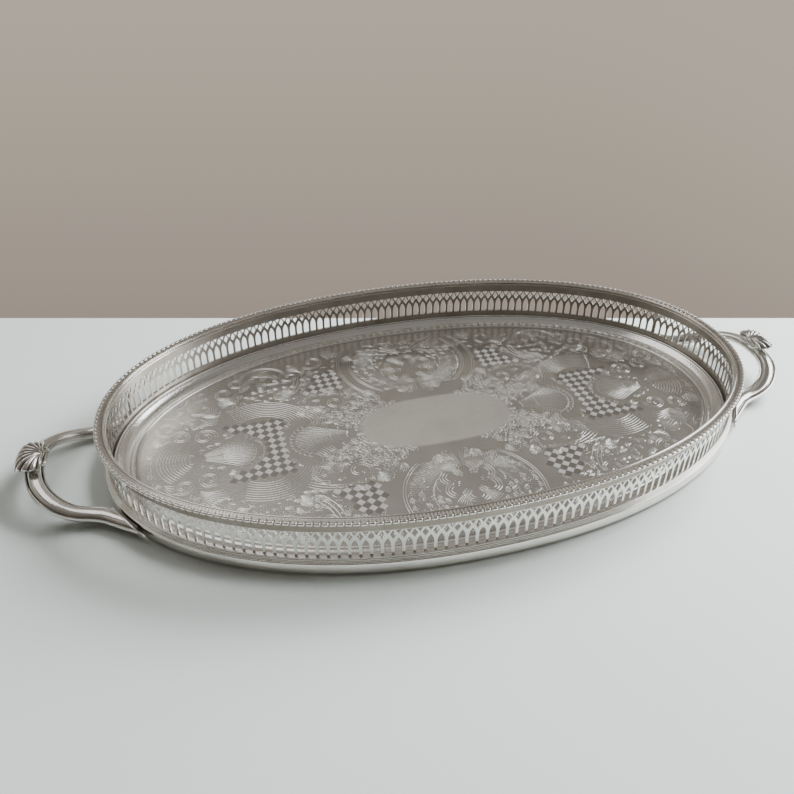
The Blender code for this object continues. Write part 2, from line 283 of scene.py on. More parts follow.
def make_piece(name, points, faces, finish, nodes=(), tarnish_and_shade=0.0, sharp=35.0):
    """A closed piece from its points and blocks of faces, on the tray's one body. Its tarnish and shade, from
    0 to 1, tells the finish how dark each point is: deep in the pattern it is tarnish, and at joints, in
    grooves, under overhangs and toward the table it is painted shade."""
    points = np.asarray(points, np.float32).reshape(-1, 3)
    data = bpy.data.meshes.new(name)
    data.vertices.add(len(points))
    data.vertices.foreach_set("co", points.ravel())
    faces = [np.asarray(block, np.int32) for block in faces]
    sizes = np.concatenate([np.full(len(block), block.shape[1], np.int32) for block in faces])
    data.loops.add(int(sizes.sum()))
    data.loops.foreach_set("vertex_index", np.concatenate([block.ravel() for block in faces]))
    data.polygons.add(len(sizes))
    data.polygons.foreach_set("loop_start", np.concatenate([[0], np.cumsum(sizes)[:-1]]).astype(np.int32))
    data.update(calc_edges=True)
    data.validate()
    depth = data.attributes.new("tarnish_and_shade", "FLOAT", "POINT")
    depth.data.foreach_set("value", np.broadcast_to(np.ravel(tarnish_and_shade), len(points)).astype(np.float32))
    data.shade_smooth()
    data.set_sharp_from_angle(angle=math.radians(sharp))
    data.materials.append(finish)
    piece = bpy.data.objects.new(name, data)
    bpy.context.scene.collection.objects.link(piece)
    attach(piece, "root")
    if nodes:
        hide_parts(*nodes)
    return piece


def tarnish_and_shade_group():
    """Plate that is bright on the high parts and dark where it is marked, with cloudy wear. The mark is
    tarnish in the chased ground, and painted shade and painted reflection streaks at joints, in grooves,
    under overhangs and on the cove. Colour and roughness come from the mark and soft noise, and a height of
    fine scratches."""
    group = bpy.data.node_groups.new("tarnish_and_painted_shade", "ShaderNodeTree")
    for side, labels in (("INPUT", ("Bright", "Dark", "Polish", "Dullness", "Cloud Scale", "Scratch Scale")),
                         ("OUTPUT", ("Color", "Roughness", "Height"))):
        for label in labels:
            kind = "Color" if label in ("Bright", "Dark", "Color") else "Float"
            group.interface.new_socket(label, in_out=side, socket_type="NodeSocket" + kind)
    given, result = group.nodes.new("NodeGroupInput"), group.nodes.new("NodeGroupOutput")
    place = add_node(group, "TexCoord")
    tarnish_and_shade = add_node(group, "Attribute", attribute_name="tarnish_and_shade")
    cloud = add_node(group, "TexNoise", {"Detail": 4.0})
    spread = add_node(group, "MapRange", {"From Min": 0.35, "From Max": 0.7, "To Min": -0.08, "To Max": 0.18})
    amount = add_node(group, "Math", operation="ADD", use_clamp=True)
    colour = add_node(group, "Mix", data_type="RGBA")
    rough = add_node(group, "MapRange")
    scratch = add_node(group, "TexNoise", {"Detail": 2.0})
    connect(group, (place, "Object", cloud, "Vector"), (given, "Cloud Scale", cloud, "Scale"),
            (cloud, "Fac", spread, "Value"), (tarnish_and_shade, "Fac", amount, 0), (spread, "Result", amount, 1),
            (amount, "Value", colour, "Factor"), (given, "Bright", colour, "A"), (given, "Dark", colour, "B"),
            (amount, "Value", rough, "Value"), (given, "Polish", rough, "To Min"),
            (given, "Dullness", rough, "To Max"), (place, "Object", scratch, "Vector"),
            (given, "Scratch Scale", scratch, "Scale"), (colour, "Result", result, "Color"),
            (rough, "Result", result, "Roughness"), (scratch, "Fac", result, "Height"))
    return group


TARNISH_AND_SHADE = tarnish_and_shade_group()


def silver(name, bright, dark, polish, dullness, cloud_scale, scratch_scale, bump):
    """A plated finish: metal coloured and dulled by the group of tarnish and painted shade, with a slight
    bump.
    """
    finish = bpy.data.materials.new(name)
    finish.use_nodes = True
    tree = finish.node_tree
    shader = tree.nodes["Principled BSDF"]
    shader.inputs["Metallic"].default_value = 1.0
    wear = add_node(tree, "Group", {"Bright": (*bright, 1.0), "Dark": (*dark, 1.0), "Polish": polish,
                                    "Dullness": dullness, "Cloud Scale": cloud_scale,
                                    "Scratch Scale": scratch_scale}, node_tree=TARNISH_AND_SHADE)
    relief = add_node(tree, "Bump", {"Strength": bump, "Distance": 0.2 * MM})
    connect(tree, (wear, "Color", shader, "Base Color"), (wear, "Roughness", shader, "Roughness"),
            (wear, "Height", relief, "Height"), (relief, "Normal", shader, "Normal"))
    return finish


PLATE_SILVER = silver("chased_silver", (0.94, 0.93, 0.895), (0.50, 0.485, 0.455), polish=0.12, dullness=0.26,
                      cloud_scale=26.0, scratch_scale=800.0, bump=0.5)
# The pattern's centre and its plain cartouche, then how far in from the oval the matted
# ground, the strokes and the tufts stop
CENTRE = np.array([1.5, -4.0])
CARTOUCHE_HALF = (58.0, 29.0)
CARTOUCHE_POWER = 2.8
GROUND_EDGE, STROKE_EDGE, TUFT_EDGE = 21.0, 22.5, 23.0
PLATE_STATIONS = 512
FIELD_RINGS = 90
UNDERSIDE = 2.5
FIELD_TARNISH = 0.8


def oval_rings(line):
    """One ring on the oval for each inset and height, in millimetres, of a line."""
    arcs = OVAL_LENGTH * np.arange(PLATE_STATIONS) / PLATE_STATIONS
    return np.stack([lifted(on_oval(arcs, inset * MM), height * MM) for inset, height in line])


def cartouche_level(u, v):
    """The n-th root of |u/a|^n + |v/b|^n: 1 on the outline of the plain cartouche."""
    return (np.abs(u / CARTOUCHE_HALF[0]) ** CARTOUCHE_POWER
            + np.abs(v / CARTOUCHE_HALF[1]) ** CARTOUCHE_POWER) ** (1 / CARTOUCHE_POWER)


# Rings from the middle of the underside out, up the edge and in to the middle of the field
edge = smooth_line(EDGE_LINE, 4)
edge_rings = oval_rings(edge[:, :2])
shrink = np.linspace(1.0, 0.0, FIELD_RINGS + 1)[1:-1, None, None]
field_rings = lifted(edge_rings[-1, :, :2] * shrink, edge_rings[-1, :, 2])
rings = np.concatenate([oval_rings(UNDER_LINE), edge_rings, field_rings])
middles = [[0.0, 0.0, UNDERSIDE * MM], [0.0, 0.0, FIELD_HEIGHT * MM]]
plate_points = np.concatenate([rings.reshape(-1, 3), middles])
around = np.arange(PLATE_STATIONS)
after = (around + 1) % PLATE_STATIONS
under_middle = np.full_like(around, rings.size // 3)
last_ring = rings.size // 3 - PLATE_STATIONS
plate_caps = np.concatenate([np.stack([after, around, under_middle], axis=1),
                             np.stack([last_ring + around, last_ring + after, under_middle + 1], axis=1)])


def chased_share(x, y):
    """How far a point of the field lies in the chased ground: 0 in the plain cartouche and
    on the cove, full between the ornaments, with a soft change over about 3 mm."""
    plain = cartouche_level(x / MM - CENTRE[0], y / MM - CENTRE[1])
    return (FIELD_TARNISH * np.clip((plain - 1.0) * 12.0, 0.0, 1.0)
            * np.clip((1.0 - oval_level(x, y, GROUND_EDGE)) * 60.0, 0.0, 1.0))


plate_tarnish_and_shade = chased_share(plate_points[:, 0], plate_points[:, 1])
# The underside is dark all through; on the top, painted shade at the joint with the wall and painted
# reflection streaks across the cove
edge_shade_and_streaks = np.concatenate([np.ones(len(UNDER_LINE)), np.clip(edge[:, 2], 0.0, 1.0)])
plate_tarnish_and_shade[:len(edge_shade_and_streaks) * PLATE_STATIONS] = np.repeat(edge_shade_and_streaks, PLATE_STATIONS)
make_piece("ground_plate_sheet", plate_points,
           [grid_faces(len(rings), PLATE_STATIONS, wrap_columns=True), plate_caps],
           PLATE_SILVER, ["ground_plate"], plate_tarnish_and_shade)


# ---------------------------------------------------------------- chasing on the field
# The field is flat chased by hand: scrolls, leaves, fans and panels of chequer are struck
# into the plate with punches, the same in all four quarters. The strokes stand up a little
# as ridges from a matted ground, and the cartouche in the middle is left plain.

SINK = 0.12
GROUND = FIELD_HEIGHT - SINK
QUARTERS = np.array([(1, 1), (-1, 1), (-1, -1), (1, -1)], float)
strokes = {"scrolls": [], "feathers": [], "sprays": [], "leaves": []}


def spot(centre, reach, angle):
    """The point at a reach and an angle, in degrees, from a centre."""
    angle = np.radians(angle)
    return centre + np.asarray(reach)[..., None] * np.stack([np.cos(angle), np.sin(angle)], axis=-1)


def along_turn(centre, radius, start, end, samples=28):
    """Curves on circles or spirals, one row each: the radius and the angle, in degrees, both
    change evenly from start to end. Radius is a pair or a number, and all may be arrays."""
    inner, outer = radius if isinstance(radius, tuple) else (radius, radius)
    inner, outer, start, end = (part[:, None] for part in np.broadcast_arrays(
        *(np.atleast_1d(np.asarray(value, float)) for value in (inner, outer, start, end))))
    t = np.linspace(0.0, 1.0, samples)
    middle = np.atleast_2d(np.asarray(centre, float))[:, None, :]
    return spot(middle, inner + (outer - inner) * t, start + (end - start) * t)


def bent_strokes(roots, heading, length, bend, samples=10):
    """Short curved strokes: from each root the heading, in degrees, turns evenly by the bend
    over the stroke's length. The points are the running sum of equal steps."""
    roots = np.atleast_2d(np.asarray(roots, float))
    heading, length, bend = (np.broadcast_to(np.asarray(value, float), len(roots))[:, None]
                             for value in (heading, length, bend))
    angle = heading + bend * np.linspace(0.0, 1.0, samples)
    step = spot(0.0, np.broadcast_to(length / (samples - 1), angle.shape), angle)
    start = np.zeros((len(roots), 1, 2))
    return roots[:, None, :] + np.concatenate([start, np.cumsum(step[:, :-1], axis=1)], axis=1)


def chase(kind, curves, width, height):
    """Note a set of strokes, mirrored into all four quarters of the tray, with their full
    width and height in millimetres."""
    strokes[kind].append((np.concatenate([curves * signs for signs in QUARTERS]), width, height))


def ridge_solid(curves, width, height):
    """Closed ridges: a triangle on the ground carried along each curve. Its half width is the
    width times a taper, the square root of the sine of the share along, and its crest is
    above the curve by the height times the taper."""
    count, samples, _ = curves.shape
    forward = np.gradient(curves, axis=1)
    forward /= np.maximum(np.linalg.norm(forward, axis=2, keepdims=True), 1e-9)
    side = np.stack([-forward[..., 1], forward[..., 0]], axis=-1)
    taper = np.sqrt(np.sin(math.pi * np.linspace(0.04, 0.97, samples)))
    half = side * (0.5 * width * taper[:, None])
    ring = np.stack([lifted(curves + half, GROUND), lifted(curves, GROUND + SINK + height * taper),
                     lifted(curves - half, GROUND)], axis=2)
    start = (3 * samples * np.arange(count))[:, None, None]
    step = start + 3 * np.arange(samples - 1)[None, :, None]
    quads = np.concatenate([step + np.array(flank) for flank in ((0, 1, 4, 3), (1, 2, 5, 4), (2, 0, 3, 5))],
                           axis=1)
    ends = np.concatenate([start[:, 0] + np.array([(0, 2, 1)]),
                           start[:, 0] + 3 * (samples - 1) + np.array([(0, 1, 2)])])
    return ring.reshape(-1, 3), [quads.reshape(-1, 4), ends], np.tile([0.25, 0.0, 0.25], count * samples)


def joined(solids):
    """Several solids as one: their points, their blocks of faces, renumbered, and recesses."""
    points, blocks, depths = zip(*solids)
    starts = np.cumsum([0] + [len(part) for part in points])
    faces = [face + start for block, start in zip(blocks, starts) for face in block]
    return np.concatenate(points), faces, np.concatenate(depths)


def place_on_field(points):
    """Pattern millimetres about the pattern's centre, made metres on the tray."""
    return (points + (*CENTRE, 0.0)) * MM


# Long scrolls: the feathered wings round the chequers, the C-scrolls at the ends and in the
# border, and the lines beside the medallions
wing = np.arange(25.0, 45.0, 2.3)
chase("feathers", along_turn((134.0, 15.0), wing, 38.0 + 0.5 * wing, 127.5 + 0.9 * wing, 40), 1.2, 0.28)
hook = np.arange(8.0, 23.0, 2.2)
chase("feathers", along_turn((103.0, 24.0), hook, 75.0, 255.0 - 1.5 * hook, 30), 1.15, 0.26)
end_scroll = np.arange(11.0, 33.0, 2.2)
chase("feathers", along_turn((181.0, 0.0), end_scroll, 0.0, 58.0 - 0.3 * end_scroll, 26), 1.2, 0.30)
band = np.array([20.0, 21.6, 26.4, 28.0])
chase("scrolls", along_turn((124.0, 88.0), band, 12.0, 172.0, 40), 1.3, 0.42)
corner = np.array([30.0, 33.0, 36.5])
chase("scrolls", along_turn((128.0, 90.0), corner, 176.0, 232.0, 30), 1.3, 0.34)
chase("scrolls", along_turn((82.0, 12.0), np.array([44.0, 46.5, 49.0]), 52.0, 102.0, 30), 1.2, 0.30)

# Volutes: two spirals from each eye, a punch's width apart
VOLUTES = [((176, 25), 8, 60, 560), ((194, 29), 6.5, 120, -330), ((146, 92), 7.5, 200, -200),
           ((102, 90), 7, -20, 420), ((176, 62), 12, 100, 470), ((157, 79), 9, 240, -180),
           ((203, 42), 8.5, 300, -120), ((80, 108), 10, -60, 330), ((97, 40), 9, 30, 460),
           ((72, 44), 8, 190, -220)]
for centre, reach, start, end in VOLUTES:
    for gap in (0.0, 1.9):
        chase("scrolls", along_turn(centre, (1.0 + gap, reach + gap), start, end, 44), 1.3, 0.38)

# Sprays of leaf strokes that fan out from a stem, each given by where its stem starts, the
# way it heads, how far it fans, how long its leaves are and how they bend
SPRAYS = [((184, 36), 100, 95, 26, 50, 15), ((165, 48), 30, 80, 20, 60, 12),
          ((150, 62), 60, 110, 16, -50, 12), ((118, 60), 120, 110, 15, 60, 12),
          ((100, 66), -10, 90, 15, 55, 10), ((196, 52), 95, 100, 18, -55, 12),
          ((126, 96), 90, 170, 13, 35, 13), ((150, 103), 60, 130, 13, 50, 11),
          ((92, 94), 100, 120, 18, -50, 12), ((66, 112), 100, 120, 14, 50, 11),
          ((84, 32), 60, 120, 14, -60, 12), ((60, 50), 110, 120, 13, 50, 12),
          ((40, 44), 70, 130, 12, -50, 11), ((14, 42), 80, 130, 11, 60, 11),
          ((208, 22), 70, 110, 14, 60, 10), ((172, 84), 40, 130, 15, -55, 11),
          ((78, 60), 150, 90, 12, 50, 9), ((188, 70), 20, 130, 13, 50, 11),
          ((44, 100), 80, 120, 13, -50, 10), ((24, 104), 60, 110, 12, 50, 9)]
for root, heading, fan, length, bend, leaves in SPRAYS:
    share = np.linspace(-0.5, 0.5, leaves)
    lengths = length * (1.0 - 1.2 * share ** 2)
    chase("sprays", bent_strokes(np.tile(root, (leaves, 1)) + 0.9 * np.stack([share, -share], axis=1),
                                 heading + fan * share, lengths, bend, 14), 1.05, 0.28)

# The fans on the long axis: smooth flutes that spread from the cartouche and from the ends,
# with a wavy outer edge
FAN_ROOTS = ((62.0, 0.0), (187.0, 0.0))
fan_angles = np.linspace(1.3, 26.0, 12)
fan_reach = 50.0 - 9.0 * (fan_angles / 26.0) ** 2
fan_start = np.where(np.arange(12) % 2, 9.0, 22.0)
scallops = np.linspace(2.4, 24.0, 6)
scallop_reach = 51.0 - 9.0 * (scallops / 26.0) ** 2
for middle, heading, shorter in zip(FAN_ROOTS, (0.0, 180.0), (0.0, 3.0)):
    starts, ends = np.abs(heading - 0.80 * fan_angles), np.abs(heading - fan_angles)
    chase("feathers", along_turn(middle, (fan_start, fan_reach - shorter), starts, ends, 20), 1.0, 0.24)
    tips = spot(middle, scallop_reach, np.abs(heading - scallops))
    chase("feathers", along_turn(tips, 2.3, heading - 80.0, heading + 80.0, 10), 0.75, 0.26)

# Medallions before and behind the cartouche: a plain band between double lines, a rose of
# round petals in the middle, and fine rays between them
MEDALLION = (0.0, 88.0)
PETAL = (0.0, 76.0)
for radius in (49.0, 50.8, 58.2, 60.0):
    chase("scrolls", along_turn(MEDALLION, radius, -53.0, 38.0, 60), 1.1, 0.34)
rays = np.arange(-88.0, 42.0, 2.6)
chase("sprays", along_turn(MEDALLION, (29.0, 46.5), rays, rays + 2.0, 10), 0.8, 0.20)
for angle in (-90.0, -30.0, 30.0, 90.0):
    middle = spot(PETAL, 13.5, angle)
    for radius in (8.6, 6.6, 4.4):
        chase("scrolls", along_turn(middle, radius, angle - 150.0, angle + 150.0, 26), 1.2, 0.32)
for angle in (-60.0, 0.0, 60.0):
    roots = np.tile(spot(PETAL, 12.0, angle), (7, 1))
    chase("sprays", bent_strokes(roots, angle + np.linspace(-34.0, 34.0, 7), 14.0,
                                 np.linspace(30.0, -30.0, 7), 10), 1.0, 0.26)
crown = np.linspace(38.0, 90.0, 6)
chase("feathers", along_turn((0.0, 98.0), (4.0, 27.0), crown, crown, 12), 1.30, 0.32)


def chequer_x(u, v):
    """The chequered cross between two facing fans: narrow on the long axis, wide above it."""
    inner = 121.0 - 0.30 * np.maximum(v - 10.0, 0.0) - 1.5 * (v < 12.0)
    outer = 134.0 + 1.15 * np.maximum(v - 10.0, 0.0) + 0.1 * v
    return (u > inner) & (u < np.minimum(outer, 160.0)) & (v < 35.0)


def chequer_corner(u, v):
    """The chequered triangle beside each medallion."""
    return ((v > 59.0) & (v < 90.0) & (u > 61.5 + 0.35 * np.maximum(v - 75.0, 0.0))
            & (u < 97.0 - 0.62 * (v - 59.0)))


def plain(u, v):
    """Where nothing small is struck: on the cartouche, bands, fans, volutes and chequers."""
    band = np.abs(np.hypot(u - MEDALLION[0], v - MEDALLION[1]) - 54.5) < 6.5
    inner_fan = (np.hypot(u - FAN_ROOTS[0][0], v) < 53.0) & (np.abs(v) < 0.52 * (u - 60.0))
    outer_fan = (np.hypot(u - FAN_ROOTS[1][0], v) < 48.0) & (np.abs(v) < 0.52 * (189.0 - u))
    wings = (np.abs(np.hypot(u - 134.0, v - 15.0) - 35.0) < 9.0) & (v > 32.0)
    ends = (np.abs(np.hypot(u - 181.0, v) - 22.0) < 12.0) & (u > 184.0) & (v < 27.0)
    rose = np.hypot(u - PETAL[0], v - PETAL[1]) < 25.0
    crest = (np.abs(np.hypot(u - 124.0, v - 88.0) - 24.0) < 5.0) & (v > 84.0)
    curled = np.zeros(np.shape(u), bool)
    for centre, reach, _, _ in VOLUTES:
        curled |= np.hypot(u - centre[0], v - centre[1]) < reach + 1.2
    return ((cartouche_level(u, v) < 0.985) | band | inner_fan | outer_fan | wings | ends | rose | crest
            | curled | chequer_x(u, v) | chequer_corner(u, v))


def kept(curves):
    """Only the curves whose ends and middle lie on the field and off its plain parts."""
    good = np.ones(len(curves), bool)
    for sample in (0, curves.shape[1] // 2, -1):
        u, v = curves[:, sample].T
        level = oval_level((u + abs(CENTRE[0])) * MM, (v + abs(CENTRE[1])) * MM, TUFT_EDGE)
        good &= (level < 1.0) & (u > 0.3) & (v > 0.3) & ~plain(u, v)
    return curves[good]


# Small curls that frame the cartouche, and tufts of leaf strokes that fill the ground between
# the larger work, thrown with a fixed seed
CURLS = 210
LEAF_GAP = 6.6
LEAF_STROKES = 5
draw = np.random.default_rng(41)
curl_turn = np.radians(draw.uniform(0.0, 90.0, CURLS))
curl_reach = 1.0 + draw.uniform(0.0, 0.40, CURLS) * (1.0 + 0.6 * np.sin(curl_turn))
curl_middle = np.stack([CARTOUCHE_HALF[0] * np.cos(curl_turn) ** 0.72,
                        CARTOUCHE_HALF[1] * np.sin(curl_turn) ** 0.72], axis=1) * curl_reach[:, None]
curl_start = draw.uniform(0.0, 360.0, CURLS)
curl_end = curl_start + draw.choice([-330.0, 330.0], CURLS)
chase("sprays", kept(along_turn(curl_middle, (0.7, 2.9), curl_start, curl_end, 12)), 0.9, 0.26)

column, row = np.meshgrid(np.arange(4.0, 226.0, LEAF_GAP), np.arange(3.5, 132.0, LEAF_GAP))
leaf_root = np.stack([column.ravel(), row.ravel()], axis=1) + draw.uniform(-1.8, 1.8, (column.size, 2))
leaf_flow = (120.0 * np.sin(leaf_root[:, 0] / 23.0) + 110.0 * np.cos(leaf_root[:, 1] / 19.0)
             + draw.uniform(-30.0, 30.0, column.size))
leaf_bend = draw.choice([-85.0, 85.0], column.size)
leaf_share = np.linspace(-0.5, 0.5, LEAF_STROKES)[None, :]
leaf_heading = leaf_flow[:, None] - 0.5 * leaf_bend[:, None] + 62.0 * leaf_share
leaf_length = np.broadcast_to(7.6 * (1.0 - 1.3 * leaf_share ** 2), leaf_heading.shape)
tufts = bent_strokes(np.repeat(leaf_root, LEAF_STROKES, axis=0), leaf_heading.ravel(), leaf_length.ravel(),
                     np.repeat(leaf_bend, LEAF_STROKES), 8)
chase("leaves", kept(tufts), 0.85, 0.22)

# Every stroke that stays on the field becomes a ridge, with one piece for each kind
for kind, sets in strokes.items():
    ridges = []
    for curves, width, height in sets:
        x, y = (curves[..., 0] + CENTRE[0]) * MM, (curves[..., 1] + CENTRE[1]) * MM
        level = oval_level(x, y, STROKE_EDGE)
        inside = (level < 1.0).all(axis=1)
        if inside.any():
            ridges.append(ridge_solid(curves[inside], width, height))
    points, faces, depth = joined(ridges)
    make_piece("chased_" + kind, place_on_field(points), faces, PLATE_SILVER, [],
               depth, sharp=100.0)

# Chequers: every second square of a slanted net is left standing bright, a low block, and the
# squares between are matted down dark
CHEQUER_SIDE = 5.0
BLOCK_SIDE = 4.8


def slanted(points, slant):
    """Points turned about the pattern's centre by a slant in degrees."""
    s, c = math.sin(math.radians(slant)), math.cos(math.radians(slant))
    return points @ np.array([(c, s), (-s, c)])


def blocks(centres, slant, height, inset, tone):
    """Low square blocks, turned by a slant in degrees: a square on the ground and a smaller
    one on top, joined by four sides."""
    corner = slanted(QUARTERS * 0.5 * BLOCK_SIDE, slant)
    count = len(centres)
    points = np.concatenate([
        lifted(centres[:, None] + corner, GROUND),
        lifted(centres[:, None] + corner * (1.0 - inset), GROUND + SINK + height)], axis=1)
    faces = (8 * np.arange(count))[:, None, None] + np.array(
        [(3, 2, 1, 0), (4, 5, 6, 7), (0, 1, 5, 4), (1, 2, 6, 5), (2, 3, 7, 6), (3, 0, 4, 7)])
    return points.reshape(-1, 3), [faces.reshape(-1, 4)], np.tile([1.0] * 4 + [tone] * 4, count)


def chequer_net(inside, slant, origin, odd):
    """The centres of every second square of a net, where the panel's test holds."""
    n, m = np.meshgrid(np.arange(-60, 61), np.arange(-60, 61))
    n, m = n[(n + m) % 2 == odd], m[(n + m) % 2 == odd]
    net = CHEQUER_SIDE * slanted(np.stack([n, m], axis=1), slant) + origin
    return net[inside(net[:, 0], net[:, 1]) & (net[:, 0] > 0) & (net[:, 1] > -0.1)]


chequers = []
for inside, slant, origin in ((chequer_x, 45.0, (128.0, 0.0)), (chequer_corner, 42.0, (79.0, 70.0))):
    for mirror in QUARTERS:
        for odd, height, inset, tone in ((0, 0.35, 0.1, 0.0), (1, 0.04, 0.02, 1.0)):
            net = chequer_net(inside, slant, origin, odd)
            net = net[net[:, 1] > (0.1 if mirror[1] < 0 else -0.1)] * mirror
            chequers.append(blocks(net, slant * mirror[0] * mirror[1], height, inset, tone))
points, faces, depth = joined(chequers)
CHEQUER_SILVER = silver("chequer_silver", (0.97, 0.96, 0.95), (0.34, 0.325, 0.30), polish=0.50, dullness=0.35,
                        cloud_scale=40.0, scratch_scale=1800.0, bump=0.15)
make_piece("chased_chequers", place_on_field(points), faces, CHEQUER_SILVER, [], depth)


# ---------------------------------------------------------------- pierced gallery
# The upright wall is a strip of thin plated sheet, pierced with a row of lancets, a diamond
# above each bar and a small triangle above each arch. It is bent on edge in four lengths,
# joined beside the handles under upright straps, and stands in the groove of the plate.

WALL_OUTSIDE = 4.3
WALL_INSIDE = 5.1
HALF_PITCH = 0.5 * PITCH / MM
BAR_HALF = 0.95
# Half of one bay: (distance from the bar's middle, height), then its four-cornered pieces
CELL_POINTS = np.array([(0.0, 6.4), (BAR_HALF, 6.4), (HALF_PITCH, 6.4), (0.0, 13.1), (BAR_HALF, 13.1),
                        (HALF_PITCH, 13.1), (0.0, 20.6), (BAR_HALF, 20.6), (1.15, 22.3), (1.6, 23.9),
                        (2.35, 25.5), (HALF_PITCH, 26.8), (0.0, 25.8), (1.075, 27.6), (2.15, 29.4),
                        (0.0, 33.2), (HALF_PITCH, 29.6), (1.25, 33.2), (HALF_PITCH, 33.2),
                        (0.0, 40.9), (1.25, 40.9), (HALF_PITCH, 40.9),
                        (0.0, 33.7), (1.25, 33.7), (HALF_PITCH, 33.7)])
CELL_QUADS = np.array([(0, 1, 4, 3), (1, 2, 5, 4), (3, 4, 7, 6), (6, 7, 8, 12), (12, 8, 9, 13),
                       (13, 9, 10, 14), (14, 10, 11, 16), (14, 16, 17, 15), (15, 17, 23, 22),
                       (17, 18, 24, 23), (22, 23, 20, 19), (23, 24, 21, 20)])
OVERHANG_SHADE_FOOT = 33.3
# The inner face is darker and duller all over
INNER_FACE_DARKENING = 0.7
WALL_SILVER = silver("pierced_silver", (0.96, 0.95, 0.92), (0.33, 0.29, 0.25), polish=0.14, dullness=0.4,
                     cloud_scale=35.0, scratch_scale=1200.0, bump=0.15)
GALLERY_END = 9


def pierced_wall(first, last):
    """A length of wall between two bars: half bays repeated and mirrored along the strip, with equal points
    merged, laid on the oval at the outer and the inner face, and joined by walls along every edge that only
    one piece has. The band above the arches is darker and duller, painted shade under the border's overhang,
    and the inner face is darker and duller all over."""
    bays = np.arange(first, last)[:, None]
    height = bays * 0.0 + CELL_POINTS[:, 1]
    right = np.stack([bays * 2 * HALF_PITCH + CELL_POINTS[:, 0], height], axis=-1)
    left = np.stack([(bays + 1) * 2 * HALF_PITCH - CELL_POINTS[:, 0], height], axis=-1)
    strip = np.concatenate([right, left]).reshape(-1, 2)
    cells = (len(CELL_POINTS) * np.arange(2 * len(bays)))[:, None, None]
    quads = np.concatenate([cells[:len(bays)] + CELL_QUADS,
                            cells[len(bays):] + CELL_QUADS[:, ::-1]]).reshape(-1, 4)
    _, index, lookup = np.unique(np.round(strip * 1e4).astype(np.int64), axis=0,
                                 return_index=True, return_inverse=True)
    strip, quads = strip[index], lookup.ravel()[quads]
    along = np.clip(strip[:, 0], 2 * HALF_PITCH * first + 0.1, 2 * HALF_PITCH * last - 0.1) * MM
    size = len(strip)
    faces = [lifted(on_oval(along, inset * MM), strip[:, 1] * MM) for inset in (WALL_OUTSIDE, WALL_INSIDE)]
    edges = np.concatenate([quads[:, (k, (k + 1) % 4)] for k in range(4)])
    _, index, times = np.unique(np.sort(edges, axis=1), axis=0, return_index=True, return_counts=True)
    rim = edges[index[times == 1]]
    walls = np.stack([rim[:, 0], rim[:, 0] + size, rim[:, 1] + size, rim[:, 1]], axis=1)
    # Painted shade: the band above the arches darkens under the border's overhang
    band = np.clip((strip[:, 1] - OVERHANG_SHADE_FOOT) / 0.4, 0.0, 1.0)
    return (np.concatenate(faces), [np.concatenate([quads, quads[:, ::-1] + size, walls])],
            np.concatenate([band, np.full(size, INNER_FACE_DARKENING)]))


HALF_ARCHES = ARCHES // 2
for name, first, last in (("right_end", -GALLERY_END, GALLERY_END),
                          ("rear", GALLERY_END, HALF_ARCHES - GALLERY_END),
                          ("left_end", HALF_ARCHES - GALLERY_END, HALF_ARCHES + GALLERY_END),
                          ("front", HALF_ARCHES + GALLERY_END, ARCHES - GALLERY_END)):
    points, faces, depth = pierced_wall(first, last)
    make_piece("gallery_wall_" + name, points, faces, WALL_SILVER,
               ["gallery_" + name], depth, 25.0)


def sweep(section, start, end, steps):
    """A length of moulding: a closed section, anticlockwise in inset and height in
    millimetres, carried along the oval between two arc lengths, with both ends closed."""
    section = np.asarray(section, float)
    arcs = np.linspace(start, end, steps + 1)[:, None]
    points = lifted(on_oval(arcs, section[None, :, 0] * MM), section[:, 1] * MM)
    return points.reshape(-1, 3), tube_faces(steps + 1, len(section))


def four_spans(near, far):
    """The four spans of the oval between two distances from its tips, by name."""
    half = OVAL_LENGTH / 2
    return (("right_rear", near, far), ("left_rear", half - far, half - near),
            ("left_front", half + near, half + far), ("right_front", 2 * half - far, 2 * half - near))


STRAP = [(4.35, 40.9), (3.95, 40.9), (3.8, 40.4), (3.8, 13.6), (3.95, 13.2), (4.35, 13.3)]
STRAP_HALF = 1.7 * MM
for name, start, end in four_spans(GALLERY_END * PITCH - STRAP_HALF, GALLERY_END * PITCH + STRAP_HALF):
    points, faces = sweep(STRAP, start, end, 3)
    make_piece("gallery_strap_" + name, points, faces, WALL_SILVER)


# ---------------------------------------------------------------- border on the gallery
# A stamped border caps the wall: a flat strip with a row of raised keys, a beaded wire along
# its outer edge and a plain wire along its inner edge, soldered on in two halves.

BEADS_PER_HALF = 138
KEY_OUTLINE = np.array([(-1.65, 2.35), (-0.8, 2.35), (0.8, 2.35), (1.65, 2.35), (1.65, 3.15), (1.65, 5.1),
                        (0.8, 5.1), (0.8, 3.15), (-0.8, 3.15), (-0.8, 5.1), (-1.65, 5.1), (-1.65, 3.15)])
KEY_QUADS = np.array([(0, 1, 8, 11), (1, 2, 7, 8), (2, 3, 4, 7), (4, 5, 6, 7), (11, 8, 9, 10)])
BORDER = [(2.2, 41.0), (4.0, 40.6), (7.2, 40.6), (7.75, 40.9), (7.85, 41.3), (7.6, 41.75), (7.1, 41.9),
          (5.7, 41.9), (5.4, 42.3), (5.4, 42.8), (5.2, 43.05), (5.0, 43.0), (2.5, 43.0), (2.3, 43.05),
          (2.15, 42.8)]
BORDER_DEPTH = [0.2, 0.5, 0.2, 0.0, 0.0, 0.1, 0.4, 0.8, 0.8, 0.4, 0.1, 0.5, 0.5, 0.1, 0.2]
MOULDING_SILVER = silver("moulding_silver", (0.95, 0.92, 0.87), (0.17, 0.155, 0.14), polish=0.12,
                         dullness=0.42, cloud_scale=30.0, scratch_scale=1200.0, bump=0.12)
KEY_FOOT, KEY_TOP = 42.8, 43.4
HALF_STEPS = 288
SEAM = 0.1 * MM
HALVES = [(name, start + SEAM, start + OVAL_LENGTH / 2 - SEAM)
          for name, start in (("rear", 0.0), ("front", OVAL_LENGTH / 2))]


